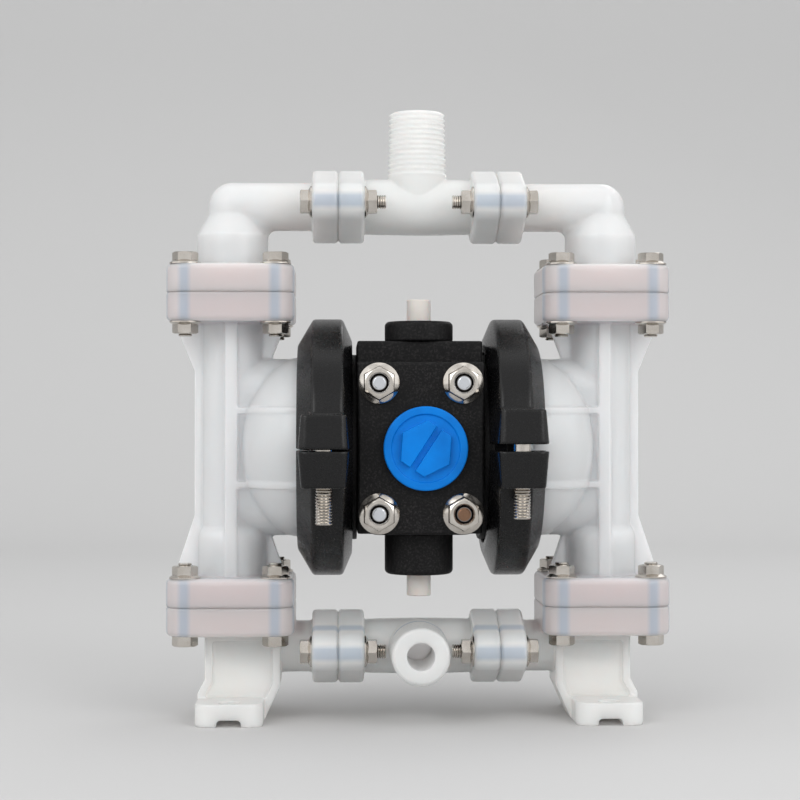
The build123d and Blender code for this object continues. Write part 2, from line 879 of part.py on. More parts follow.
# Clamps
save(clamp_half(1, right_split_top, upper_lug_height), "right_upper_clamp")
save(mirrored(clamp_half(1, left_split_top, upper_lug_height)), "left_upper_clamp")
save_pair(clamp_half(-1, split_bottom, lower_lug_height), "lower_clamp")

# Centre block
rim_back = diaphragm_x - rim_face
with BuildPart() as air_cavity:
    with BuildSketch(Plane.XZ):
        with BuildLine():
            Polyline(
                (cavity_floor_x, axis_z),
                (cavity_floor_x, axis_z + cavity_floor_radius),
                (rim_back, axis_z + cavity_mouth_radius),
                (rim_back, axis_z),
                close=True,
            )
        make_face()
    revolve(axis=axis_line)
with BuildPart() as hub:
    with BuildSketch(Plane.XZ):
        with BuildLine():
            Polyline(
                (block_half_width, axis_z),
                (block_half_width, axis_z + hub_radius),
                (rim_back - rim_depth, axis_z + hub_radius),
                (rim_back - rim_depth, axis_z + rim_root_radius),
                (rim_back - rim_flat, axis_z + rim_radius),
                (rim_back, axis_z + rim_radius),
                (rim_back, axis_z),
                close=True,
            )
        make_face()
    revolve(axis=axis_line)
    add(air_cavity.part, mode=Mode.SUBTRACT)
save_pair(hub.part, "hub")

with BuildPart() as centre_body:
    with Locations((0, 0, axis_z - block_bottom)):
        Box(2 * block_half_width, 2 * block_half_depth, block_bottom + block_top, align=(C, C, LOW))
    add(air_cavity.part, mode=Mode.SUBTRACT)
    mirror(air_cavity.part, about=Plane.YZ, mode=Mode.SUBTRACT)
    with Locations((0, 0, axis_z)):
        Cylinder(bush_radius + running_gap, 2 * cavity_floor_x, rotation=(0, 90, 0), mode=Mode.SUBTRACT)
    with Locations((0, pilot_y, axis_z)):
        Cylinder(pilot_radius + running_gap, 2 * cavity_floor_x, rotation=(0, 90, 0), mode=Mode.SUBTRACT)
    with Locations((0, valve_y, axis_z)):
        Cylinder(sleeve_radius + running_gap, 2 * sleeve_half_length, mode=Mode.SUBTRACT)
    with Locations(at(0, valve_y, axis_z, (0, 0, 1)), at(0, valve_y, axis_z, (0, 0, -1))):
        with Locations((0, 0, sleeve_half_length)):
            Cylinder(
                cap_spigot_radius + running_gap,
                block_top - sleeve_half_length,
                align=(C, C, LOW),
                mode=Mode.SUBTRACT,
            )
    for x in (-cover_bolt_x, cover_bolt_x):
        for z in (-cover_bolt_z, cover_bolt_z):
            with Locations((x, 0, axis_z + z)):
                Cylinder(m6_hole, 2 * block_half_depth, rotation=(90, 0, 0), mode=Mode.SUBTRACT)
    with Locations(at(0, valve_y, axis_z, (0, -1, 0))):
        Cylinder(inlet_passage, block_half_depth + valve_y, align=(C, C, LOW), mode=Mode.SUBTRACT)
    with Locations(at(0, valve_y, axis_z + exhaust_passage_rise, (0, 1, 0))):
        Cylinder(passage_radius, block_half_depth - valve_y, align=(C, C, LOW), mode=Mode.SUBTRACT)
    with Locations(
        at(0, valve_y, axis_z + valve_port_offset, (1, 0, 0)),
        at(0, valve_y, axis_z - valve_port_offset, (-1, 0, 0)),
    ):
        Cylinder(port_hole_radius, cavity_floor_x, align=(C, C, LOW), mode=Mode.SUBTRACT)
save(centre_body.part, "centre_body")

front_plate = cover_outline(block_half_depth + gasket_thickness, cover_thickness)
with BuildPart() as inlet_cover:
    add(front_plate)
    fillet(inlet_cover.faces().sort_by(Axis.Y)[0].outer_wire().edges(), cover_rounding)
    with Locations(at(inlet_x, -cover_face_y, axis_z, (0, 1, 0))):
        Cylinder(inlet_bore, cover_thickness, align=(C, C, LOW), mode=Mode.SUBTRACT)
save(inlet_cover.part, "inlet_cover")

back_plate = cover_outline(-cover_face_y, cover_thickness)
with BuildPart() as exhaust_cover:
    add(back_plate)
    fillet(exhaust_cover.faces().sort_by(Axis.Y)[-1].outer_wire().edges(), cover_rounding)
    with Locations(at(0, cover_face_y, axis_z, (0, 1, 0))):
        Cylinder(exhaust_boss_radius, exhaust_boss_height, align=(C, C, LOW))
        Cylinder(
            exhaust_port_radius,
            2 * (cover_thickness + exhaust_boss_height),
            mode=Mode.SUBTRACT,
        )
    with Locations(at(0, cover_face_y - cover_thickness, axis_z, (0, 1, 0))):
        Cylinder(gasket_window, exhaust_pocket_depth, align=(C, C, LOW), mode=Mode.SUBTRACT)
save(exhaust_cover.part, "exhaust_cover")
save(gasket(block_half_depth), "inlet_gasket")
save(gasket(-block_half_depth - gasket_thickness), "exhaust_gasket")

# Transport plug in the air inlet
plug_shank = threaded_shank(
    plug_thread_radius, cover_thickness - body_gap, plug_thread_pitch, plug_thread_depth, plug_thread_rings
)
plug_floor = plug_head - plug_recess
with BuildPart() as plug_at_origin:
    Cylinder(plug_radius, plug_head, align=(C, C, LOW))
    chamfer(plug_at_origin.edges().group_by(Axis.Z)[-1], plug_recess / 2)
    with Locations((0, 0, plug_floor)):
        Cylinder(plug_recess_radius, plug_recess, align=(C, C, LOW), mode=Mode.SUBTRACT)
    with BuildSketch(Plane.XY.offset(plug_floor)):
        RegularPolygon(plug_flats / 2, 6, major_radius=False, rotation=plug_hex_turn)
        Rectangle(2 * plug_flats, plug_slot_width, rotation=plug_slot_turn, mode=Mode.SUBTRACT)
    extrude(amount=plug_hex_height)
    add(plug_shank)
plug_place = at(inlet_x, -cover_face_y - body_gap, axis_z, (0, -1, 0))
save(plug_place.location * plug_at_origin.part, "inlet_plug")

# Air valve, its caps and its reset pins
with BuildPart() as valve_sleeve:
    with Locations((0, valve_y, axis_z)):
        Cylinder(sleeve_radius, 2 * sleeve_half_length)
        Cylinder(spool_radius + running_gap, 2 * sleeve_half_length, mode=Mode.SUBTRACT)
    with Locations(
        at(0, valve_y, axis_z, (0, -1, 0)),
        at(0, valve_y, axis_z + exhaust_passage_rise, (0, 1, 0)),
        at(0, valve_y, axis_z + valve_port_offset, (1, 0, 0)),
        at(0, valve_y, axis_z - valve_port_offset, (-1, 0, 0)),
    ):
        Cylinder(port_hole_radius, sleeve_radius, align=(C, C, LOW), mode=Mode.SUBTRACT)
save(valve_sleeve.part, "valve_sleeve")

neck = spool_radius - spool_groove
spool = turned([
    (0, -spool_half_length),
    (spool_radius, -spool_half_length),
    (spool_radius, spool_land - spool_half_length),
    (neck, spool_land - spool_half_length),
    (neck, -spool_land / 2),
    (spool_radius, -spool_land / 2),
    (spool_radius, spool_land / 2),
    (neck, spool_land / 2),
    (neck, spool_half_length - spool_land),
    (spool_radius, spool_half_length - spool_land),
    (spool_radius, spool_half_length),
    (0, spool_half_length),
])
save(Pos(0, valve_y, axis_z) * spool, "valve_spool")

collar_top = cap_pocket_end - body_gap
collar_foot = collar_top - pin_collar_height
pin_inner_end = spool_half_length + spool_travel + pin_gap + pin_travel
cap_foot = sleeve_half_length + slip_gap
reset_pin = turned([
    (0, pin_inner_end),
    (pin_radius, pin_inner_end),
    (pin_radius, collar_foot),
    (pin_collar_radius, collar_foot),
    (pin_collar_radius, collar_top),
    (pin_radius, collar_top),
    (pin_radius, pin_outer_end - body_gap),
    (pin_radius - body_gap, pin_outer_end),
    (0, pin_outer_end),
])
spring_foot = sleeve_half_length + spring_wire + slip_gap
spring_length = collar_foot - spring_wire - slip_gap - spring_foot
with BuildPart() as reset_spring:
    with BuildLine():
        coil = Helix(spring_length / spring_turns, spring_length, spring_radius, center=(0, 0, spring_foot))
    with BuildSketch(Plane(origin=coil @ 0, z_dir=coil % 0)):
        Circle(spring_wire)
    sweep(is_frenet=True)
for name, up, seat in (("upper", (0, 0, 1), block_top), ("lower", (0, 0, -1), block_bottom)):
    place = at(0, valve_y, axis_z, up).location
    valve_cap = turned([
        (cap_pocket_radius, cap_foot),
        (cap_spigot_radius, cap_foot),
        (cap_spigot_radius, seat),
        (cap_radius, seat),
        (cap_radius, cap_end - cap_rounding),
        (cap_radius - cap_rounding, cap_end),
        (pin_radius + running_gap, cap_end),
        (pin_radius + running_gap, cap_pocket_end),
        (cap_pocket_radius, cap_pocket_end),
    ])
    save(place * valve_cap, name + "_valve_cap")
    save(place * reset_pin, name + "_reset_pin")
    save(place * reset_spring.part, name + "_reset_spring")

# Shaft with its bushes, seals and plates, the pilot rod and the diaphragms
plate_x = diaphragm_x - rim_face - plate_thickness
shaft_end_x = diaphragm_x + rim_face + shaft_end_length
shaft = turned([
    (0, -shaft_end_x),
    (shaft_end_radius, -shaft_end_x),
    (shaft_end_radius, -plate_x),
    (shaft_radius, -plate_x),
    (shaft_radius, plate_x),
    (shaft_end_radius, plate_x),
    (shaft_end_radius, shaft_end_x),
    (0, shaft_end_x),
])
save(at(0, 0, axis_z, (1, 0, 0)).location * shaft, "diaphragm_shaft")
bush = turned([
    (shaft_radius + running_gap, bush_start_x),
    (bush_radius, bush_start_x),
    (bush_radius, bush_end_x),
    (shaft_radius + running_gap, bush_end_x),
])
save_pair(at(0, 0, axis_z, (1, 0, 0)).location * bush, "shaft_bush")
seal = turned([
    (shaft_radius + running_gap, -seal_width / 2),
    (bush_radius, -seal_width / 2),
    (bush_radius, seal_width / 2),
    (shaft_radius + running_gap, seal_width / 2),
])
save(gathered(seal, [at(x, 0, axis_z, (1, 0, 0)) for x in (-seal_x, seal_x)]), "shaft_seals")

hole = shaft_end_radius + running_gap
inner_plate = turned([
    (hole, 0),
    (plate_radius - plate_thickness / 4, 0),
    (plate_radius, plate_thickness / 4),
    (plate_radius, plate_thickness),
    (hole, plate_thickness),
])
save_pair(at(plate_x, 0, axis_z, (1, 0, 0)).location * inner_plate, "inner_plate")
crown_height = outer_plate_thickness + outer_plate_crown
outer_plate = turned([
    (hole, 0),
    (plate_radius, 0),
    (plate_radius, outer_plate_thickness / 2),
    (plate_radius - outer_plate_crown, outer_plate_thickness),
    (plate_radius / 2, crown_height),
    (0, crown_height),
    (0, shaft_end_length + running_gap),
    (hole, shaft_end_length + running_gap),
])
save_pair(at(diaphragm_x + rim_face, 0, axis_z, (1, 0, 0)).location * outer_plate, "outer_plate")

fold_middle = (diaphragm_fold_start + diaphragm_fold_end) / 2
with BuildPart() as diaphragm:
    with BuildSketch(Plane.XZ):
        with BuildLine():
            faces = []
            for x in (diaphragm_x - rim_face, diaphragm_x + rim_face):
                low = Line((x, axis_z + hole), (x, axis_z + diaphragm_fold_start))
                fold = ThreePointArc(
                    low @ 1,
                    (x + diaphragm_fold_height, axis_z + fold_middle),
                    (x, axis_z + diaphragm_fold_end),
                )
                faces.append((low, Line(fold @ 1, (x, axis_z + diaphragm_radius))))
            Line(faces[0][0] @ 0, faces[1][0] @ 0)
            Line(faces[0][1] @ 1, faces[1][1] @ 1)
        make_face()
    revolve(axis=axis_line)
save_pair(diaphragm.part, "diaphragm")

with BuildPart() as pilot_rod:
    with Locations((0, pilot_y, axis_z)):
        Cylinder(pilot_radius, 2 * pilot_half_length, rotation=(0, 90, 0))
save(pilot_rod.part, "pilot_rod")

# Fasteners
m5_head = hexagon(m5_flats, m5_head_height, m5_washer_radius, m5_washer_height)
m5_plain_head = hexagon(m5_flats, m5_plain_head_height, 0, 0)
m5_nut_body = hexagon(m5_flats, m5_nut_height, m5_washer_radius, m5_washer_height)
m5_nut = nut(m5_nut_body, m5_nut_height, m5_radius + running_gap)
flange_shank = threaded_shank(m5_radius, flange_bolt_length, m5_pitch, m5_groove, m5_thread_rings)
coupling_shank = threaded_shank(m5_radius, coupling_bolt_length, m5_pitch, m5_groove, m5_thread_rings)
bolt_reach = flange_bolt_pitch / 2
flange_bolt_spots = [
    (tube + x, y)
    for tube in (-tube_x, tube_x)
    for x in (-bolt_reach, bolt_reach)
    for y in (-bolt_reach, bolt_reach)
]


def at_flanges(height, up):
    """The places of the flange fasteners at one height."""
    return [at(x, y, height, up) for x, y in flange_bolt_spots]


upper_bolt = bolt(flange_shank, m5_head)
lower_bolt = bolt(flange_shank, m5_plain_head)
above_upper = at_flanges(upper_joint_z + flange_thickness, (0, 0, 1))
below_upper = at_flanges(upper_joint_z - flange_thickness, (0, 0, -1))
above_lower = at_flanges(lower_joint_z + flange_thickness, (0, 0, 1))
below_lower = at_flanges(lower_joint_z - flange_thickness, (0, 0, -1))
save(gathered(upper_bolt, above_upper), "upper_flange_bolts")
save(gathered(m5_nut, below_upper), "upper_flange_nuts")
save(gathered(lower_bolt, below_lower), "lower_flange_bolts")
save(gathered(m5_nut, above_lower), "lower_flange_nuts")


def at_couplings(offset_x, outward):
    """The places of the coupling fasteners, with their Z outward from the middle or inward."""
    return [
        at(side * (coupling_x + offset_x), y, z, (side * outward, 0, 0))
        for side in (-1, 1)
        for y in (-coupling_bolt_reach, coupling_bolt_reach)
        for z in (bottom_pipe_z, top_pipe_z)
    ]


save(gathered(bolt(coupling_shank, m5_head), at_couplings(coupling_thickness, 1)), "coupling_bolts")
save(gathered(m5_nut, at_couplings(-coupling_thickness, -1)), "coupling_nuts")

m6_flange_head = hexagon(m6_flats, m6_cover_nut_height, m6_washer_radius, m6_washer_height)
m6_cover_nut = nut(m6_flange_head, m6_cover_nut_height, m6_radius + running_gap)
m6_clamp_nut = nut(hexagon(m6_flats, m6_nut_height, 0, 0), m6_nut_height, m6_radius + running_gap)
cover_shank = threaded_shank(m6_radius, cover_bolt_length, m6_pitch, m6_groove, m6_thread_rings)
clamp_shank = threaded_shank(m6_radius, clamp_bolt_length, m6_pitch, m6_groove, m6_thread_rings)


def at_covers(y, up):
    """The places of the cover fasteners, each with a corner of its hexagon at the top."""
    return [
        at(x, y, axis_z + z, up, side=(0, 0, 1))
        for x in (-cover_bolt_x, cover_bolt_x)
        for z in (-cover_bolt_z, cover_bolt_z)
    ]


def at_clamps(left_height, right_height, up):
    """The places of the clamp fasteners, at their heights on the left and on the right."""
    return [
        at(x, y, height, up)
        for x, height in ((-clamp_bolt_x, left_height), (clamp_bolt_x, right_height))
        for y in (-clamp_bolt_y, clamp_bolt_y)
    ]


save(gathered(bolt(cover_shank, m6_flange_head), at_covers(cover_face_y, (0, 1, 0))), "cover_bolts")
save(gathered(m6_cover_nut, at_covers(-cover_face_y, (0, -1, 0))), "cover_nuts")
clamp_bolt = bolt(clamp_shank, hexagon(m6_flats, m6_head_height, 0, 0))
head_seat = axis_z + upper_lug_height - clamp_head_pocket
head_places = at_clamps(head_seat + left_split_top, head_seat + right_split_top, (0, 0, 1))
nut_seat = axis_z + split_bottom - lower_lug_height + clamp_nut_pocket
save(gathered(clamp_bolt, head_places), "clamp_bolts")
save(gathered(m6_clamp_nut, at_clamps(nut_seat, nut_seat, (0, 0, -1))), "clamp_nuts")
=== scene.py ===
import json
import math

import bmesh
import bpy
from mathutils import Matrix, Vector

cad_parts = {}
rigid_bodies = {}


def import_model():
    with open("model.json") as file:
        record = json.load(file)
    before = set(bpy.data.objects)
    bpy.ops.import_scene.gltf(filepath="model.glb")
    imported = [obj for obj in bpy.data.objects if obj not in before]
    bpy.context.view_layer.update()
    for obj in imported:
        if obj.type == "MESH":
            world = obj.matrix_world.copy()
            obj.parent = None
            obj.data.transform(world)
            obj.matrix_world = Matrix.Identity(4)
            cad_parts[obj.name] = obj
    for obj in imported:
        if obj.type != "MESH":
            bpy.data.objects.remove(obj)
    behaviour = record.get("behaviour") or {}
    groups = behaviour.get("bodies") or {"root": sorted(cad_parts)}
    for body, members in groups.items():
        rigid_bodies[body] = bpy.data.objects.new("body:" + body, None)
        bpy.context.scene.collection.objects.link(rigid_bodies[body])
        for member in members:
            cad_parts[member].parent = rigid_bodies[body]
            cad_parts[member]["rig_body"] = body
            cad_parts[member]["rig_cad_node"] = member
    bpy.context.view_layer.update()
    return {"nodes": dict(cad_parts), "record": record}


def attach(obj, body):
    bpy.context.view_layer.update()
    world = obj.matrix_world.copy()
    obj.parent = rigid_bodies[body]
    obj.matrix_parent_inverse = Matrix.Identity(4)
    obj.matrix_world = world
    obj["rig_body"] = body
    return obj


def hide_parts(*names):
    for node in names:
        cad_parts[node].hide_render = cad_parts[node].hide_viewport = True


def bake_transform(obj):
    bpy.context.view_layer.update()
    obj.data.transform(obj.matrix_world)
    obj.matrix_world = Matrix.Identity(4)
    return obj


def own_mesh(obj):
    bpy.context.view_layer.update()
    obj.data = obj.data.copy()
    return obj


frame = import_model()

# Camera: in front, a little to the left of the pump and level with its middle
camera_place = (-0.0292, -0.720, 0.108)
camera_target = (-0.0062, 0.0, 0.1146)
camera_lens = 89.0

# Light: strength of the world from in front, the sides and above, and the lamps' places and power
world_front = 0.86
world_side = 1.34
world_top = 0.94
key_place = (-0.75, -1.15, 0.85)
fill_place = (0.8, -1.1, 0.75)
top_place = (0.0, 0.1, 1.3)
back_place = (0.5, 0.8, 0.9)
key_power = 6.5
fill_power = 6.0
top_power = 0.8
back_power = 1.5
backdrop_grey = 0.53

# Moulded shells: voxel size and how far the surface is smoothed
voxel = 0.00045
smooth_passes = 3
plug_voxel = 0.00022
plug_passes = 2
thread_voxel = 0.0003
thread_passes = 2
smooth_factor = 0.5
faces_kept = 0.3
moulded_slots = ("polypropylene", "block_plastic", "clamp_plastic")

# Colours of the natural plastic: plain body, flange and horizontal pipe of each casting; the flange
# colours are pink from the plastic's thickness and darkened as painted shade
chamber_body = (0.955, 0.945, 0.975)
chamber_flange_shaded = (0.70, 0.622, 0.622)
upper_body = (0.98, 0.95, 0.95)
upper_flange_shaded = (0.72, 0.648, 0.643)
upper_pipe = (0.965, 0.905, 0.88)
lower_body = (0.965, 0.94, 0.91)
lower_flange_shaded = (0.70, 0.628, 0.623)
lower_pipe = (0.97, 0.93, 0.90)
tee_body = (0.955, 0.94, 0.905)

# Painted shade of the steel that shows through the natural plastic, and how strongly
painted_ghost_tint = (0.42, 0.50, 0.60)
flange_painted_ghost = 0.75
coupling_painted_ghost = 0.8

# How the natural plastic lets light through, in metres where it is a length
# Painted light: the colour that lightens a port's bore
painted_bore_light = (1.0, 0.97, 0.95)
transmission = 0.3
scatter = 0.010
bore_scatter = 0.06
bore_edge = 0.0006

# Other colours
block_dark = (0.003, 0.003, 0.0033)
block_light = (0.024, 0.0225, 0.0225)
clamp_dark = (0.003, 0.003, 0.0033)
clamp_light = (0.007, 0.007, 0.0075)
steel_bright = (0.62, 0.585, 0.54)
steel_dull = (0.50, 0.465, 0.42)
blue_deep = (0.0, 0.145, 0.53)
blue_light = (0.0, 0.19, 0.66)
pin_tint = (0.63, 0.595, 0.56)
seat_tint = (0.85, 0.85, 0.83)
# The rubber's colour, also used as the painted shadow round each cover stud
rubber_and_gap_shadow = (0.02, 0.02, 0.021)
bronze_tint = (0.45, 0.28, 0.12)
aluminium_tint = (0.62, 0.62, 0.64)

# Span of a noise that shows as soft patches, and the edges of other marks
noise_low = 0.3
noise_high = 0.7
patch_low = 0.35
speckle_edge = 0.12
side_edge = 0.001

# Sizes of the pump that the materials and the fillets follow, in metres
tube_x = 0.067
axis_z = 0.0975
bolt_reach = 0.016
bolt_shade = 0.0018
coupling_bolt_shade = 0.0025
shade_edge = 0.0009
pipe_end = 0.050
elbow_start = 0.058
coupling_end = 0.040
flange_start = 0.042
lower_joint_z = 0.041
upper_joint_z = 0.1526
flange_thickness = 0.0102
flange_edge = 0.0012
coupling_x = 0.0287
coupling_thickness = 0.00935
top_pipe_z = 0.1848
bottom_pipe_z = 0.0253
port_bore = 0.0049

# Fillet under each top pipe where it leaves its elbow
top_pipe_radius = 0.00875
cage_radius = 0.0129
cage_top_z = 0.1742
neck_z = 0.182
corner_radius = 0.0028
corner_overlap = 0.0015
corner_width = 0.97
corner_rows = 12
corner_steps = 6
round_steps = 72

# Collar that carries the port threads down to the tees
collar_inside = 0.0065
collar_foot = 0.0035
collar_foot_radius = 0.0097
collar_shoulder = 0.0103
collar_crest = 0.01085
collar_rings = 2
thread_start = 0.01425
thread_pitch = 0.001814
thread_depth = 0.001

# Diaphragms: the number of wedges each is cut into
wedges = 12

# Cover nuts: across the threads, the flats and the washer, and their heights
nut_face_y = -0.036
nut_x = 0.0146
nut_z = 0.0226
nut_hole = 0.00305
nut_flats = 0.0102
nut_washer = 0.0071
nut_height = 0.006
nut_bevel = 0.0047
nut_draft = 0.0004
nut_chamfer = 0.0008
nut_mouth = 0.0007
nut_slope = 0.5
nut_foot = 0.0023
nut_fillet = 0.0002
washer_top = 0.0019
washer_slope = 0.0011
washer_rim = 0.0008
washer_round = 0.0003
stud_foot = 0.003
stud_height = 0.0055
stud_radius = 0.0029
stud_end = 0.0022
stud_round = 0.0002
stud_chamfer = 0.0013
stud_flat = 0.85
stud_inside = 0.25
gap_middle = 0.0027
gap_reach = 0.00035
gap_edge = 0.0002
stud_edge = 0.0003
sharp_angle = 20
rust_tint = (0.24, 0.14, 0.09)
stud_tint = (0.66, 0.68, 0.72)

# Floor and backdrop: one sweep behind the pump
floor_front = -6.0
floor_back = 0.9
sweep_radius = 0.5
sweep_steps = 16
backdrop_top = 2.6
backdrop_half_width = 6.0


def make_camera():
    """The camera at the photograph's place, aimed at the middle of its picture."""
    data = bpy.data.cameras.new("camera")
    data.lens = camera_lens
    data.clip_start = 0.01
    data.clip_end = 20.0
    camera = bpy.data.objects.new("camera", data)
    camera.location = camera_place
    away = Vector(camera_target) - Vector(camera_place)
    camera.rotation_mode = "QUATERNION"
    camera.rotation_quaternion = away.to_track_quat("-Z", "Y")
    bpy.context.collection.objects.link(camera)
    bpy.context.scene.camera = camera


def add_node(tree, kind, **inputs):
    """A new shader node; inputs go by name, and one that is a socket is linked."""
    made = tree.nodes.new("ShaderNode" + kind)
    for name, value in inputs.items():
        socket = made.inputs[name.replace("_", " ")]
        if isinstance(value, bpy.types.NodeSocket):
            tree.links.new(value, socket)
        else:
            socket.default_value = value
    return made


def new_material(name):
    """An empty node material with its output and its Principled shader."""
    material = bpy.data.materials.new(name)
    material.use_nodes = True
    tree = material.node_tree
    tree.nodes.clear()
    shader = tree.nodes.new("ShaderNodeBsdfPrincipled")
    output = tree.nodes.new("ShaderNodeOutputMaterial")
    tree.links.new(shader.outputs["BSDF"], output.inputs["Surface"])
    return material, tree, shader


def noise(tree, scale, detail=3.0, roughness=0.5):
    """A noise value in object coordinates, with its scale in turns per metre."""
    place = add_node(tree, "TexCoord").outputs["Object"]
    made = add_node(
        tree, "TexNoise", Vector=place, Scale=scale, Detail=detail, Roughness=roughness
    )
    return made.outputs["Fac"]


def ramp(tree, value, low, high, start=0.0, end=1.0):
    """A value moved from the span low..high to start..end, held at both ends."""
    made = add_node(
        tree, "MapRange", Value=value, From_Min=low, From_Max=high, To_Min=start, To_Max=end
    )
    made.clamp = True
    return made.outputs["Result"]


def blotches(tree, scale, detail=3.0, start=0.0, end=1.0):
    """A soft-edged noise that fills the span start..end."""
    return ramp(tree, noise(tree, scale, detail), noise_low, noise_high, start, end)


def mixed(tree, factor, first, second):
    """A colour between two others."""
    made = tree.nodes.new("ShaderNodeMix")
    made.data_type = "RGBA"
    colours = [s for s in made.inputs if s.type == "RGBA"]
    for socket, value in zip(colours, (first, second)):
        if isinstance(value, bpy.types.NodeSocket):
            tree.links.new(value, socket)
        else:
            socket.default_value = (*value, 1.0)
    tree.links.new(factor, made.inputs["Factor"])
    return next(s for s in made.outputs if s.type == "RGBA")


def math_node(tree, operation, *values):
    """One step of arithmetic on sockets or numbers."""
    made = tree.nodes.new("ShaderNodeMath")
    made.operation = operation
    for socket, value in zip(made.inputs, values):
        if isinstance(value, bpy.types.NodeSocket):
            tree.links.new(value, socket)
        else:
            socket.default_value = value
    return made.outputs[0]


def bumped(tree, shader, height, distance, strength):
    """Gives the shader a bump from a height value, with its depth in metres."""
    made = add_node(tree, "Bump", Height=height, Distance=distance, Strength=strength)
    tree.links.new(made.outputs["Normal"], shader.inputs["Normal"])


def near(tree, value, middle, reach, soft=flange_edge):
    """1 where a value is within reach of the middle, fading to 0 over twice the soft edge."""
    away = math_node(tree, "ABSOLUTE", math_node(tree, "SUBTRACT", value, middle))
    return ramp(tree, away, reach - soft, reach + soft, 1.0, 0.0)


def distance(tree, first, second):
    """The length of a step in two directions."""
    first_square = math_node(tree, "MULTIPLY", first, first)
    second_square = math_node(tree, "MULTIPLY", second, second)
    return math_node(tree, "SQRT", math_node(tree, "ADD", first_square, second_square))


def natural_plastic(name, body, flange, pipe, bore_z=None):
    """Milky translucent plastic: pinker on the flanges where it is thickest, darkened there as
    painted shade, with a painted blue-grey shade over the steel in it.
    """
    material, tree, shader = new_material(name)
    place = add_node(tree, "SeparateXYZ", Vector=add_node(tree, "TexCoord").outputs["Object"])
    x, y, z = (place.outputs[way] for way in "XYZ")
    aside = math_node(tree, "ABSOLUTE", x)
    cloud = blotches(tree, scale=28.0, detail=2.0)
    colour = mixed(tree, cloud, body, dimmer(body, 0.95))
    colour = mixed(tree, ramp(tree, aside, pipe_end, elbow_start, 1.0, 0.0), colour, pipe)
    # Flange band: pink from the plastic's thickness, darkened there as painted shade
    lower_joint = near(tree, z, lower_joint_z, flange_thickness)
    upper_joint = near(tree, z, upper_joint_z, flange_thickness)
    flange_band = math_node(tree, "MAXIMUM", lower_joint, upper_joint)
    beside = ramp(tree, aside, coupling_end, flange_start)
    colour = mixed(tree, math_node(tree, "MULTIPLY", flange_band, beside), colour, flange)
    # Painted shade of the bolts inside the square flanges
    across = math_node(tree, "SUBTRACT", aside, tube_x)
    out_x = math_node(tree, "ABSOLUTE", across)
    out_y = math_node(tree, "ABSOLUTE", y)
    seen_front = near(tree, out_x, bolt_reach, bolt_shade, shade_edge)
    seen_side = near(tree, out_y, bolt_reach, bolt_shade, shade_edge)
    painted_ghost = math_node(tree, "MULTIPLY", math_node(tree, "MAXIMUM", seen_front, seen_side), flange_band)
    colour = mixed(tree, math_node(tree, "MULTIPLY", painted_ghost, flange_painted_ghost), colour, painted_ghost_tint)
    # Painted shade of the bolts inside the couplings
    coupled = near(tree, aside, coupling_x, coupling_thickness)
    high = near(tree, z, top_pipe_z, coupling_bolt_shade, shade_edge)
    low = near(tree, z, bottom_pipe_z, coupling_bolt_shade, shade_edge)
    painted_ghost = math_node(tree, "MULTIPLY", coupled, math_node(tree, "MAXIMUM", high, low))
    colour = mixed(tree, math_node(tree, "MULTIPLY", painted_ghost, coupling_painted_ghost), colour, painted_ghost_tint)
    shader.inputs["Transmission Weight"].default_value = transmission
    shader.inputs["Subsurface Weight"].default_value = 1.0
    shader.inputs["Subsurface Radius"].default_value = (1.0, 0.9, 0.88)
    shader.inputs["Subsurface Scale"].default_value = scatter
    # Painted light in a port's bore: its colour lightened, its transmission taken out and its
    # scatter widened there
    if bore_z is not None:
        off_axis = distance(tree, x, math_node(tree, "SUBTRACT", z, bore_z))
        edge = (port_bore, port_bore + bore_edge)
        colour = mixed(tree, ramp(tree, off_axis, *edge, 1.0, 0.0), colour, painted_bore_light)
        glow = ramp(tree, off_axis, *edge, 0.0, transmission)
        tree.links.new(glow, shader.inputs["Transmission Weight"])
        spread = ramp(tree, off_axis, *edge, bore_scatter, scatter)
        tree.links.new(spread, shader.inputs["Subsurface Scale"])
    tree.links.new(colour, shader.inputs["Base Color"])
    shader.inputs["IOR"].default_value = 1.49
    shader.inputs["Coat Weight"].default_value = 0.6
    shader.inputs["Coat Roughness"].default_value = 0.2
    wear = blotches(tree, scale=400.0, detail=4.0, start=0.52, end=0.62)
    tree.links.new(wear, shader.inputs["Roughness"])
    swell = noise(tree, scale=220.0)
    waves = add_node(tree, "Bump", Height=swell, Distance=0.0001, Strength=0.5)
    tree.links.new(waves.outputs["Normal"], shader.inputs["Coat Normal"])
    return material


def black_plastic(name, dark, light, speckle, rough, grain, gloss):
    """Dark moulded plastic, mottled by the glass in it, with a fine cast grain."""
    material, tree, shader = new_material(name)
    mottle = noise(tree, scale=1300.0, detail=5.0, roughness=0.75)
    spots = ramp(tree, mottle, speckle, speckle + speckle_edge)
    shade = math_node(tree, "MULTIPLY", spots, blotches(tree, scale=60.0, start=0.45))
    shader.inputs["Specular IOR Level"].default_value = gloss
    tree.links.new(mixed(tree, shade, dark, light), shader.inputs["Base Color"])
    sheen = ramp(tree, mottle, noise_low, noise_high, *rough)
    tree.links.new(sheen, shader.inputs["Roughness"])
    bumped(tree, shader, noise(tree, scale=1400.0, detail=4.0), grain, strength=0.6)
    return material


def steel(name, bright, dull, rough):
    """Bare metal with slightly dull patches and uneven gloss."""
    material, tree, shader = new_material(name)
    shader.inputs["Metallic"].default_value = 1.0
    patches = ramp(tree, noise(tree, scale=160.0), patch_low, noise_high)
    tree.links.new(mixed(tree, patches, bright, dull), shader.inputs["Base Color"])
    sheen = blotches(tree, scale=250.0, start=rough[0], end=rough[1])
    tree.links.new(sheen, shader.inputs["Roughness"])
    return material


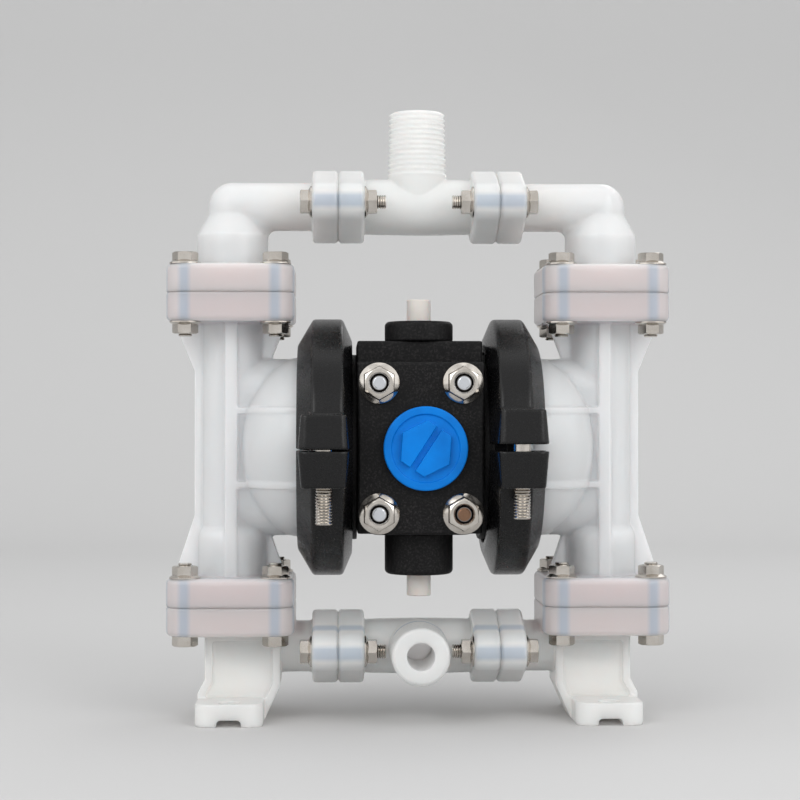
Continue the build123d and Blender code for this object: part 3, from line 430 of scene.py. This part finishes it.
def cover_steel(name):
    """The steel of the cover nuts: a painted shadow in the gap round each stud, and one stud rusty.
    """
    material, tree, shader = new_material(name)
    shader.inputs["Metallic"].default_value = 1.0
    place = add_node(tree, "SeparateXYZ", Vector=add_node(tree, "TexCoord").outputs["Object"])
    x = place.outputs["X"]
    height = math_node(tree, "SUBTRACT", place.outputs["Z"], axis_z)
    across = math_node(tree, "SUBTRACT", math_node(tree, "ABSOLUTE", x), nut_x)
    up = math_node(tree, "SUBTRACT", math_node(tree, "ABSOLUTE", height), nut_z)
    off_stud = distance(tree, across, up)
    patches = ramp(tree, noise(tree, scale=300.0), patch_low, noise_high)
    colour = mixed(tree, patches, steel_bright, steel_dull)
    # Where a point is: on the front of the pump, right, low, on a stud or in the gap round it,
    # where a shadow is painted
    front = ramp(tree, place.outputs["Y"], -side_edge, 0.0, 1.0, 0.0)
    right = ramp(tree, x, 0.0, side_edge)
    low = ramp(tree, height, -side_edge, 0.0, 1.0, 0.0)
    stud = ramp(tree, off_stud, stud_end, stud_end + stud_edge, 1.0, 0.0)
    gap = near(tree, off_stud, gap_middle, gap_reach, gap_edge)
    on_stud = math_node(tree, "MULTIPLY", stud, front)
    rusty = math_node(tree, "MULTIPLY", on_stud, math_node(tree, "MULTIPLY", right, low))
    colour = mixed(tree, on_stud, colour, stud_tint)
    colour = mixed(tree, rusty, colour, rust_tint)
    # Painted shadow between each stud and its nut
    colour = mixed(tree, math_node(tree, "MULTIPLY", gap, front), colour, rubber_and_gap_shadow)
    tree.links.new(colour, shader.inputs["Base Color"])
    sheen = blotches(tree, scale=500.0, start=0.12, end=0.24)
    tree.links.new(sheen, shader.inputs["Roughness"])
    return material


def plain_plastic(name, first, second, rough, soft=0.0, gloss=0.3):
    """Smooth coloured plastic or rubber with slight changes of tone and gloss."""
    material, tree, shader = new_material(name)
    cloud = ramp(tree, noise(tree, scale=90.0), patch_low, noise_high)
    tree.links.new(mixed(tree, cloud, first, second), shader.inputs["Base Color"])
    sheen = blotches(tree, scale=700.0, start=rough[0], end=rough[1])
    tree.links.new(sheen, shader.inputs["Roughness"])
    shader.inputs["Subsurface Weight"].default_value = soft
    shader.inputs["Subsurface Scale"].default_value = 0.002
    shader.inputs["Specular IOR Level"].default_value = gloss
    bumped(tree, shader, noise(tree, scale=1200.0), distance=0.00003, strength=0.4)
    return material


def dimmer(colour, share):
    """The same colour at a share of its strength."""
    return tuple(part * share for part in colour)


make_camera()
bpy.context.scene.view_settings.view_transform = "Standard"

materials = {
    "polypropylene": natural_plastic("natural_chamber", chamber_body, chamber_flange_shaded, chamber_body),
    "block_plastic": black_plastic(
        "block_black",
        block_dark,
        block_light,
        speckle=0.50,
        rough=(0.42, 0.62),
        grain=0.00014,
        gloss=0.16,
    ),
    "clamp_plastic": black_plastic(
        "clamp_black",
        clamp_dark,
        clamp_light,
        speckle=0.54,
        rough=(0.24, 0.32),
        grain=0.00002,
        gloss=0.3,
    ),
    "stainless_steel": steel("stainless", steel_bright, steel_dull, rough=(0.14, 0.24)),
    "white_seat_plastic": plain_plastic(
        "seat_white", seat_tint, dimmer(seat_tint, 0.94), rough=(0.35, 0.5), soft=0.2
    ),
    "blue_plastic": plain_plastic(
        "plug_blue", blue_deep, blue_light, rough=(0.34, 0.48), gloss=0.14
    ),
    "pin_plastic": plain_plastic(
        "pin_grey", pin_tint, dimmer(pin_tint, 0.9), rough=(0.35, 0.5), soft=0.2
    ),
    "rubber": plain_plastic(
        "seal_rubber", rubber_and_gap_shadow, dimmer(rubber_and_gap_shadow, 1.6), rough=(0.5, 0.7)
    ),
    "bronze": steel("bush_bronze", bronze_tint, dimmer(bronze_tint, 0.8), rough=(0.3, 0.45)),
    "aluminium": steel(
        "part_aluminium", aluminium_tint, dimmer(aluminium_tint, 0.85), rough=(0.3, 0.45)
    ),
}
nut_steel = cover_steel("cover_stainless")
upper_elbow = natural_plastic("natural_upper_elbow", upper_body, upper_flange_shaded, upper_pipe)
lower_elbow = natural_plastic("natural_lower_elbow", lower_body, lower_flange_shaded, lower_pipe)
tones = {
    "cover_bolts": nut_steel,
    "left_upper_elbow": upper_elbow,
    "right_upper_elbow": upper_elbow,
    "left_lower_elbow": lower_elbow,
    "right_lower_elbow": lower_elbow,
    "discharge_tee": natural_plastic("natural_discharge_tee", tee_body, tee_body, tee_body),
    "suction_tee": natural_plastic(
        "natural_suction_tee", tee_body, tee_body, tee_body, bore_z=bottom_pipe_z
    ),
}
slots = {row["node"]: row["material_slot"] for row in frame["record"]["subparts"]}


def dress(obj, node):
    """Gives an object the material of a node: its own tone, or that of its slot."""
    obj.data.materials.clear()
    obj.data.materials.append(tones.get(node, materials[slots[node]]))


for name, obj in frame["nodes"].items():
    dress(obj, name)


def shell(outline, place):
    """A closed ring-shaped surface from an outline in each direction and a rule that places it."""
    points = []
    for step in range(round_steps):
        turn = 2 * math.pi * step / round_steps
        rings = outline(turn)
        for radius, height in rings:
            points.append(place(radius * math.sin(turn), radius * math.cos(turn), height))
    count = len(rings)
    faces = []
    for step in range(round_steps):
        here = step * count
        there = (step + 1) % round_steps * count
        for i in range(count):
            j = (i + 1) % count
            faces.append((here + i, here + j, there + j, there + i))
    return points, faces


def corner_shell(side):
    """The fillet between the underside of a top pipe and the upright part of its elbow."""
    points = []
    faces = []
    for row in range(corner_rows + 1):
        y = top_pipe_radius * corner_width * (2 * row / corner_rows - 1)
        share = math.sqrt(1 - (y / top_pipe_radius) ** 2)
        under = top_pipe_z - top_pipe_radius * share
        bend = corner_radius * share
        foot = under - bend
        narrowing = max(foot - cage_top_z, 0.0) / (neck_z - cage_top_z)
        cage = cage_radius - (cage_radius - top_pipe_radius) * narrowing
        edge = tube_x - math.sqrt(max(cage**2 - y**2, 0.0))
        outline = [(edge + corner_overlap, foot)]
        for step in range(corner_steps + 1):
            turn = math.pi / 2 * step / corner_steps
            outline.append((edge - bend + bend * math.cos(turn), foot + bend * math.sin(turn)))
        outline.append((edge - bend, under + corner_overlap))
        outline.append((edge + corner_overlap, under + corner_overlap))
        points += [(side * x, y, z) for x, z in outline]
    count = len(outline)
    for row in range(corner_rows):
        for i in range(count):
            j = (i + 1) % count
            here = row * count
            faces.append((here + i, here + j, here + count + j, here + count + i))
    faces.append(tuple(range(count)))
    faces.append(tuple(range(corner_rows * count, (corner_rows + 1) * count)))
    return points, faces


def collar_rings_at(turn):
    """The outline of the lowest port threads and their shoulder, the same in every direction."""
    outline = [(collar_inside, collar_foot), (collar_inside, thread_start)]
    for ring in range(collar_rings):
        top = thread_start - ring * thread_pitch
        outline.append((collar_crest - thread_depth, top))
        outline.append((collar_crest, top - thread_pitch / 2))
    outline.append((collar_crest - thread_depth / 2, collar_shoulder))
    outline.append((collar_foot_radius, collar_foot))
    return outline


def joined(mesh, shells):
    """Adds closed surfaces to a mesh."""
    work = bmesh.new()
    work.from_mesh(mesh)
    for points, faces in shells:
        corners = [work.verts.new(point) for point in points]
        for face in faces:
            work.faces.new([corners[i] for i in face])
    work.to_mesh(mesh)
    work.free()


def copy_of(name, ending):
    """A loose copy of a node, which is shown until something stands for it."""
    source = frame["nodes"][name]
    piece = source.copy()
    piece.data = source.data.copy()
    piece.name = name + ending
    piece.parent = None
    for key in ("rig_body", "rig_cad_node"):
        if key in piece:
            del piece[key]
    bpy.context.collection.objects.link(piece)
    return piece


def stand_for(name):
    """Hides a node, so that a piece shows in its place."""
    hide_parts(name)


def applied(piece):
    """Works a piece's modifiers into its mesh."""
    depsgraph = bpy.context.evaluated_depsgraph_get()
    mesh = bpy.data.meshes.new_from_object(piece.evaluated_get(depsgraph))
    piece.modifiers.clear()
    piece.data = mesh


def moulded(name, size, passes, shells=()):
    """Replaces a node by the same shape with the soft edges that a moulded part has."""
    piece = copy_of(name, "_moulded")
    joined(piece.data, shells)
    grid = piece.modifiers.new("grid", "REMESH")
    grid.mode = "VOXEL"
    grid.voxel_size = size
    grid.use_smooth_shade = True
    soften = piece.modifiers.new("soften", "SMOOTH")
    soften.factor = smooth_factor
    soften.iterations = passes
    applied(piece)
    thin = piece.modifiers.new("thin", "DECIMATE")
    thin.ratio = faces_kept
    applied(piece)
    for face in piece.data.polygons:
        face.use_smooth = True
    dress(piece, name)
    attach(piece, frame["nodes"][name]["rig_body"])
    stand_for(name)


def squeezed_spring(name):
    """A copy of a pin's return spring, carried by the pin's body in place of its node."""
    piece = copy_of(name, "_squeezed")
    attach(piece, frame["nodes"][name]["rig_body"])
    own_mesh(piece)
    stand_for(name)


def bending_diaphragm(name):
    """A diaphragm cut into wedges, each closed where it was cut, shown in place of its node."""
    half = math.pi / wedges
    pieces = [copy_of(name, "_%02d" % wedge) for wedge in range(wedges)]
    for wedge, piece in enumerate(pieces):
        middle = 2 * half * (wedge + 0.5)
        work = bmesh.new()
        work.from_mesh(piece.data)
        for side in (-1, 1):
            turn = middle + side * half
            cut = bmesh.ops.bisect_plane(
                work,
                geom=work.verts[:] + work.edges[:] + work.faces[:],
                plane_co=(0.0, 0.0, axis_z),
                plane_no=(0.0, -side * math.sin(turn), side * math.cos(turn)),
                clear_outer=True,
            )
            edges = [part for part in cut["geom_cut"] if isinstance(part, bmesh.types.BMEdge)]
            bmesh.ops.holes_fill(work, edges=edges, sides=0)
        work.to_mesh(piece.data)
        work.free()
        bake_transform(piece)
        stand_for(name)


def hexagon_reach(turn, flats):
    """How far the side of a hexagon is from its middle in one direction."""
    side = math.pi / 3
    return flats / 2 / math.cos(turn % side - side / 2)


def nut_rings(turn):
    """The outline of a flange nut in one direction, as radius and height, round the solid."""
    top = hexagon_reach(turn, nut_flats - nut_draft)
    foot = hexagon_reach(turn, nut_flats)
    return [
        (nut_hole, 0.0),
        (nut_hole, nut_height - nut_chamfer),
        (nut_hole + nut_mouth, nut_height),
        (nut_bevel, nut_height),
        (top, nut_height - max(top - nut_bevel, 0.0) * nut_slope),
        (foot, nut_foot),
        (foot + nut_fillet, washer_top),
        (nut_washer - washer_round, washer_slope),
        (nut_washer, washer_rim),
        (nut_washer, 0.0),
    ]


def stud_rings(turn):
    """The outline of the end of a stud, the same in every direction."""
    return [
        (stud_end * stud_inside, stud_foot),
        (stud_end * stud_inside, stud_height),
        (stud_end * stud_flat, stud_height),
        (stud_end, stud_height - stud_round),
        (stud_radius, stud_height - stud_chamfer),
        (stud_radius, stud_foot),
    ]


def fasteners(name, rings, body):
    """Four turned pieces on the front cover, made from the outline of one."""
    mesh = bpy.data.meshes.new(name)
    for x in (-nut_x, nut_x):
        for z in (axis_z - nut_z, axis_z + nut_z):
            turned = shell(rings, lambda a, u, h: (x + a, nut_face_y - h, z + u))
            joined(mesh, [turned])
    for face in mesh.polygons:
        face.use_smooth = True
    mesh.set_sharp_from_angle(angle=math.radians(sharp_angle))
    piece = bpy.data.objects.new(name, mesh)
    bpy.context.collection.objects.link(piece)
    mesh.materials.append(nut_steel)
    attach(piece, body)
    return piece


def stage():
    """A floor that rises into the backdrop in one sweep."""
    rows = [(floor_front, 0.0)]
    for step in range(sweep_steps + 1):
        turn = math.pi / 2 * step / sweep_steps
        back = floor_back + sweep_radius * math.sin(turn)
        up = sweep_radius * (1 - math.cos(turn))
        rows.append((back, up))
    rows.append((floor_back + sweep_radius, backdrop_top))
    points = [(x, y, z) for y, z in rows for x in (-backdrop_half_width, backdrop_half_width)]
    faces = [(2 * i, 2 * i + 1, 2 * i + 3, 2 * i + 2) for i in range(len(rows) - 1)]
    mesh = bpy.data.meshes.new("backdrop")
    mesh.from_pydata(points, [], faces)
    backdrop = bpy.data.objects.new("backdrop", mesh)
    bpy.context.collection.objects.link(backdrop)
    material, tree, shader = new_material("backdrop_paper")
    shade = blotches(tree, scale=3.0, start=0.98, end=1.02)
    grey = (backdrop_grey, backdrop_grey, backdrop_grey)
    tree.links.new(mixed(tree, shade, dimmer(grey, 0.98), grey), shader.inputs["Base Color"])
    shader.inputs["Roughness"].default_value = 0.9
    mesh.materials.append(material)
    for face in mesh.polygons:
        face.use_smooth = True


def area_light(name, place, target, width, height, power):
    """A soft box aimed at a point."""
    data = bpy.data.lights.new(name, "AREA")
    data.shape = "RECTANGLE"
    data.size = width
    data.size_y = height
    data.energy = power
    light = bpy.data.objects.new(name, data)
    light.location = place
    away = Vector(target) - Vector(place)
    light.rotation_mode = "QUATERNION"
    light.rotation_quaternion = away.to_track_quat("-Z", "Y")
    bpy.context.collection.objects.link(light)


def lights():
    """A soft white world, a key from the upper left, a fill from the right, and two lamps above."""
    world = bpy.data.worlds.new("studio")
    world.use_nodes = True
    tree = world.node_tree
    way = add_node(tree, "SeparateXYZ", Vector=add_node(tree, "TexCoord").outputs["Generated"])
    aside = math_node(tree, "ABSOLUTE", way.outputs["X"])
    sides = ramp(tree, aside, 0.35, 0.75, world_front, world_side)
    above = ramp(tree, way.outputs["Z"], 0.25, 0.75, 0.0, world_top)
    level = math_node(tree, "MAXIMUM", sides, above)
    sky = tree.nodes["Background"]
    sky.inputs["Color"].default_value = (1.0, 1.0, 1.0, 1.0)
    tree.links.new(level, sky.inputs["Strength"])
    bpy.context.scene.world = world
    middle = (0.0, 0.0, axis_z)
    area_light("key", key_place, middle, width=0.9, height=0.9, power=key_power)
    area_light("fill", fill_place, middle, width=0.8, height=0.9, power=fill_power)
    area_light("top", top_place, middle, width=0.9, height=0.6, power=top_power)
    area_light("back", back_place, middle, width=0.6, height=0.6, power=back_power)


# Closed forms that a moulded part has besides its solid
added = {
    "left_upper_elbow": [corner_shell(-1)],
    "right_upper_elbow": [corner_shell(1)],
    "discharge_tee": [shell(collar_rings_at, lambda a, u, h: (a, u, top_pipe_z + h))],
    "suction_tee": [shell(collar_rings_at, lambda a, u, h: (a, -h, bottom_pipe_z + u))],
}
for name, slot in slots.items():
    if slot in moulded_slots and "outer_plate" not in name:
        threaded = "tee" in name
        size = thread_voxel if threaded else voxel
        passes = thread_passes if threaded else smooth_passes
        moulded(name, size, passes, added.get(name, ()))
moulded("inlet_plug", plug_voxel, plug_passes)

housing = frame["nodes"]["cover_nuts"]["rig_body"]
nuts = fasteners("flange_nuts", nut_rings, housing)
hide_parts("cover_nuts")
fasteners("stud_ends", stud_rings, housing)
squeezed_spring("upper_reset_spring")
squeezed_spring("lower_reset_spring")
bending_diaphragm("left_diaphragm")
bending_diaphragm("right_diaphragm")

stage()
lights()
